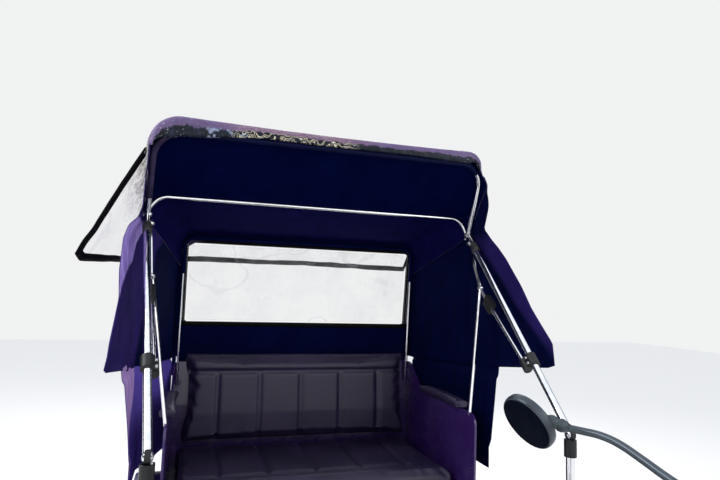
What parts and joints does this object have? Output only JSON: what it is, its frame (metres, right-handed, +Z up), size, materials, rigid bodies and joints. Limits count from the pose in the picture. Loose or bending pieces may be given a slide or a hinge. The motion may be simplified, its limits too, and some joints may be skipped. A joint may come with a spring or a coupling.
{
  "type": "cycle rickshaw",
  "caption": "Three-wheeled pedal rickshaw: driver's cycle front, passenger bench behind under a raised folding hood with rear window and thrown-back clear rain curtain.",
  "frame": {"origin": "on the ground under the middle of the whole vehicle's box; the vehicle's own middle plane lies a little to +Y, because the rain curtain flares to -Y", "axes": "+X forward along the vehicle, +Y to its left, +Z up"},
  "size_m": [2.6612, 1.5238, 1.9696],
  "materials": {
    "frame_paint": "gloss black enamel",
    "body_purple": "gloss purple moulded panel",
    "floor_plate": "raised tread plate",
    "chrome": "polished tube",
    "axle_steel": "turned",
    "cast_alloy": "cast",
    "black_fitting": "moulded nylon",
    "tyre_rubber": "road tread",
    "wheel_alloy": "polished rim and steel spokes",
    "chain_steel": "oiled",
    "vinyl_seat": "sewn vinyl upholstery",
    "saddle_vinyl": "black vinyl",
    "hood_cloth": "purple coated canvas",
    "hood_hem": "printed band under clear vinyl",
    "clear_vinyl": "clear flexible vinyl",
    "grip_rubber": "ribbed",
    "mirror_face": "silvered",
    "lamp_body": "moulded housing",
    "tail_red": "ribbed lens"
  },
  "bodies": {
    "chassis": {"armrest_pads": "vinyl_seat", "axle_hangers": "frame_paint", "back_panel": "body_purple", "backrest_cushion": "vinyl_seat", "chain": "chain_steel", "chassis_cross_tubes": "frame_paint", "chassis_rails": "frame_paint", "dash_panel": "body_purple", "deck_hinges": "black_fitting", "differential": "cast_alloy", "driver_frame": "frame_paint", "floor_plate": "floor_plate", "front_bow": "chrome", "hood_hem": "hood_hem", "hood_joints": "black_fitting", "hood_rear_panel": "hood_cloth", "hood_roof": "hood_cloth", "hood_side_left": "hood_cloth", "hood_side_right": "hood_cloth", "hood_strut_left": "chrome", "hood_strut_right": "chrome", "middle_bow": "chrome", "rain_curtain": "clear_vinyl", "rear_bow": "chrome", "rear_bumper": "frame_paint", "rear_calipers": "cast_alloy", "rear_fender_left": "body_purple", "rear_fender_right": "body_purple", "rear_window": "clear_vinyl", "saddle": "saddle_vinyl", "seat_cushion": "vinyl_seat", "seat_deck": "body_purple", "seat_post": "axle_steel", "seat_riser": "body_purple", "second_struts": "chrome", "side_panel_left": "body_purple", "side_panel_right": "body_purple", "stanchions": "chrome", "tail_lamps": "tail_red"},
    "crank": {"crankset": "cast_alloy"},
    "pedal_body_left": {"pedal_left": "black_fitting"},
    "pedal_body_right": {"pedal_right": "black_fitting"},
    "steering": {"fork": "frame_paint", "stem": "chrome", "handlebar": "chrome", "grips": "grip_rubber", "mirror_stalk": "black_fitting", "mirror_head": "black_fitting", "mirror_glass": "mirror_face", "headlight": "lamp_body", "front_fender": "body_purple", "brake_levers": "cast_alloy"},
    "front_wheel_body": {"front_tyre": "tyre_rubber", "front_wheel": "wheel_alloy"},
    "rear_wheel_body_left": {"rear_tyre_left": "tyre_rubber", "rear_wheel_left": "wheel_alloy", "half_shaft_left": "axle_steel"},
    "rear_wheel_body_right": {"rear_tyre_right": "tyre_rubber", "rear_wheel_right": "wheel_alloy", "half_shaft_right": "axle_steel"}
  },
  "joints": [
    {"name": "steer", "type": "hinge", "parent": "chassis", "child": "steering", "pos_m": [0.81854, 0.06313, 0.70517], "axis": [-0.3256, 0, 0.9455], "range_deg": [-45, 45]},
    {"name": "front_wheel_spin", "type": "hinge", "parent": "steering", "child": "front_wheel_body", "pos_m": [1.0006, 0.06313, 0.33], "axis": [0, 1, 0], "continuous": true},
    {"name": "rear_wheel_spin_left", "type": "hinge", "parent": "chassis", "child": "rear_wheel_body_left", "pos_m": [-0.8994, 0.65313, 0.33], "axis": [0, 1, 0], "continuous": true},
    {"name": "rear_wheel_spin_right", "type": "hinge", "parent": "chassis", "child": "rear_wheel_body_right", "pos_m": [-0.8994, -0.52687, 0.33], "axis": [0, 1, 0], "continuous": true},
    {"name": "crank_spin", "type": "hinge", "parent": "chassis", "child": "crank", "pos_m": [0.4206, 0.06313, 0.3], "axis": [0, 1, 0], "continuous": true},
    {"name": "pedal_spin_left", "type": "hinge", "parent": "crank", "child": "pedal_body_left", "pos_m": [0.2506, 0.20113, 0.3], "axis": [0, 1, 0], "continuous": true},
    {"name": "pedal_spin_right", "type": "hinge", "parent": "crank", "child": "pedal_body_right", "pos_m": [0.5906, -0.07487, 0.3], "axis": [0, 1, 0], "continuous": true}
  ]
}
